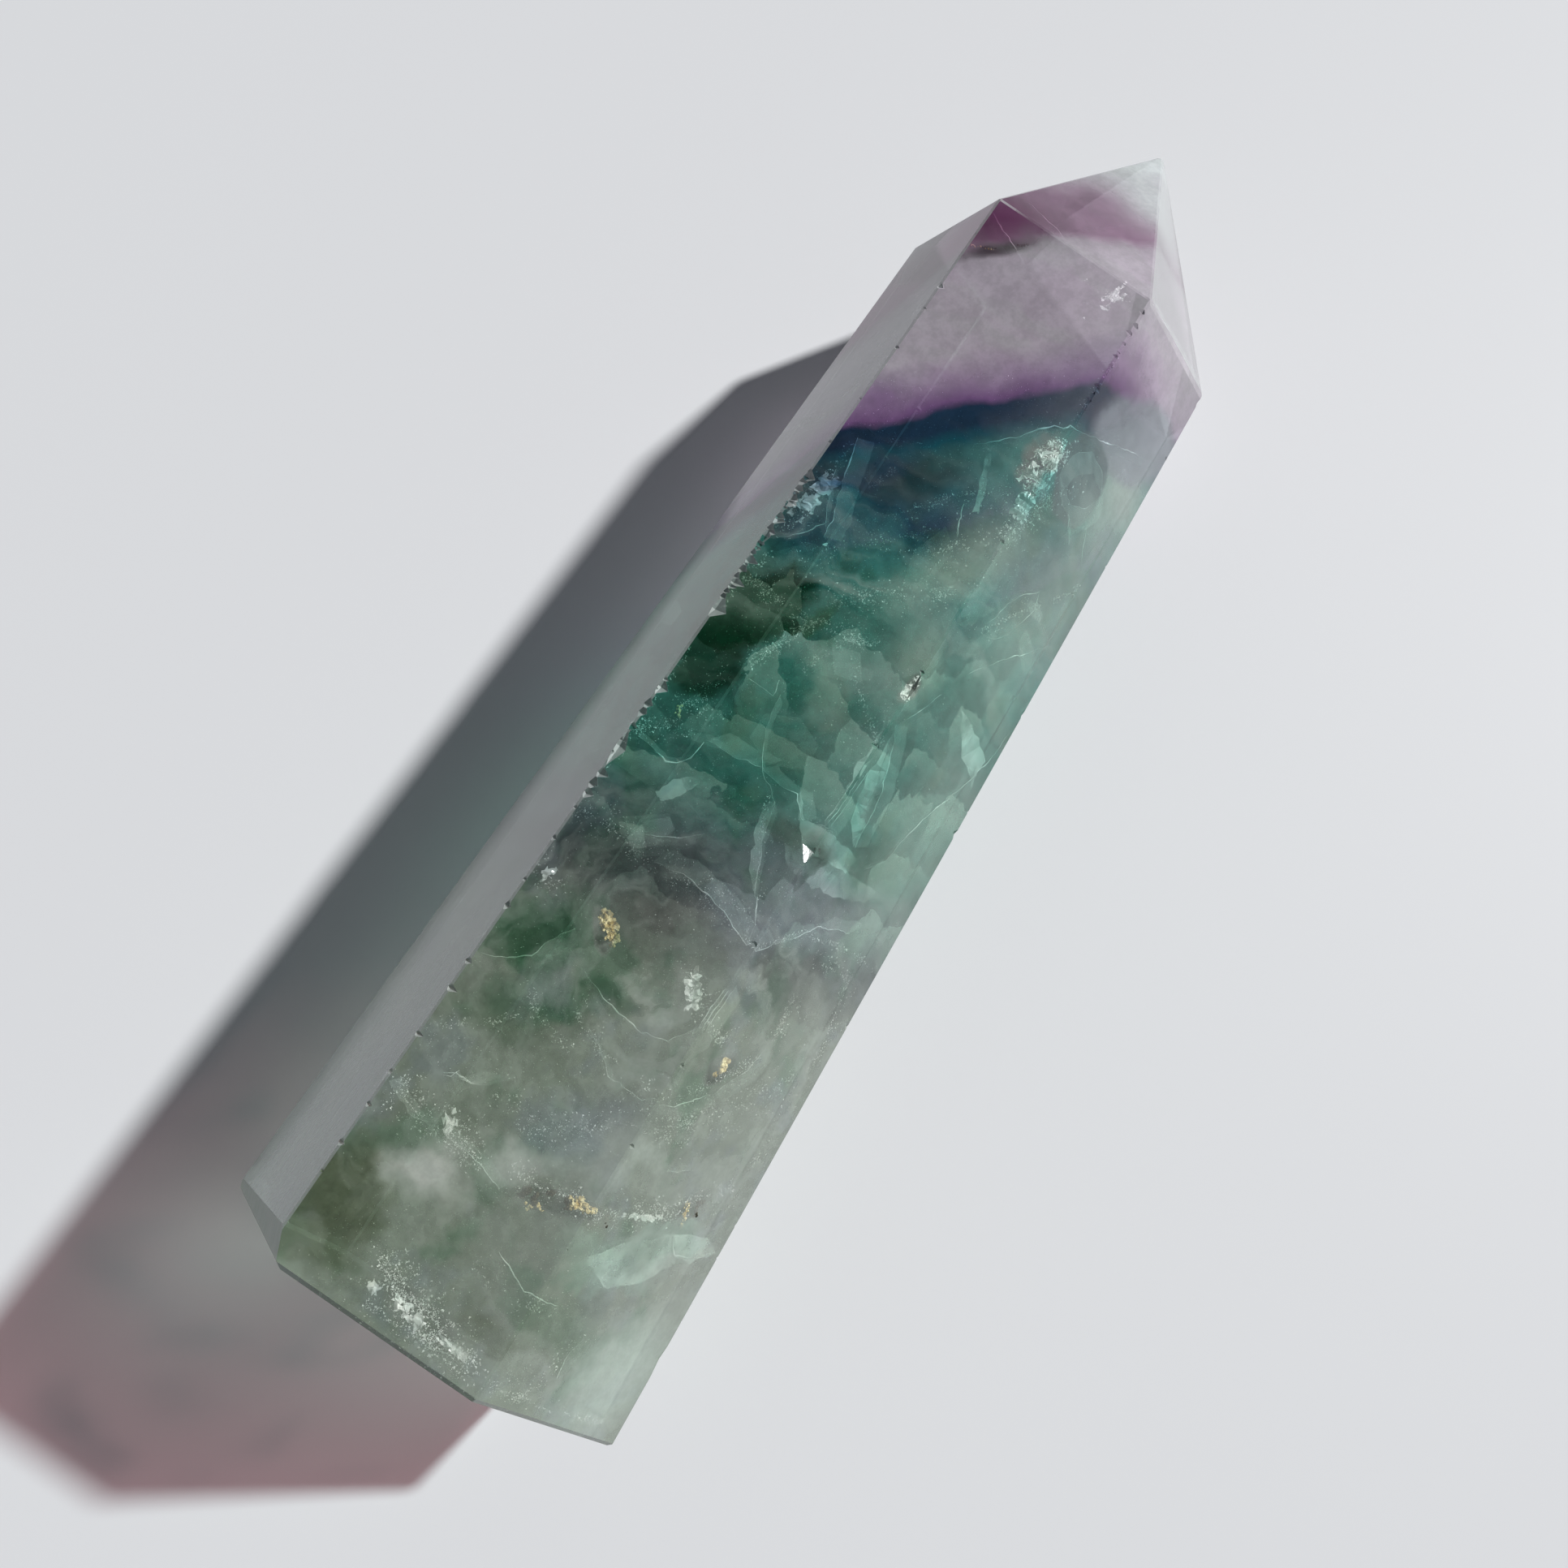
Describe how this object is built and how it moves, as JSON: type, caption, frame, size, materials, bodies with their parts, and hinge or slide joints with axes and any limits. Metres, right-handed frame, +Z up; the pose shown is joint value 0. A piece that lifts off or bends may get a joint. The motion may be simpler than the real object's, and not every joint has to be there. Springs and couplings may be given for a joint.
{
  "type": "fluorite tower",
  "caption": "Polished fluorite tower: a slightly tapered hexagonal column of banded purple, blue and green crystal with a faceted point, lying on one long side.",
  "frame": {"origin": "on the surface that the tower lies on, under the middle of its bounding box", "axes": "+X along the tower from its foot to its tip, +Z up, away from the long side that it lies on"},
  "size_m": [0.1066, 0.0318, 0.0279],
  "materials": {
    "fluorite": "polished"
  },
  "bodies": {
    "root": {"fluorite_tower": "fluorite"}
  },
  "joints": []
}
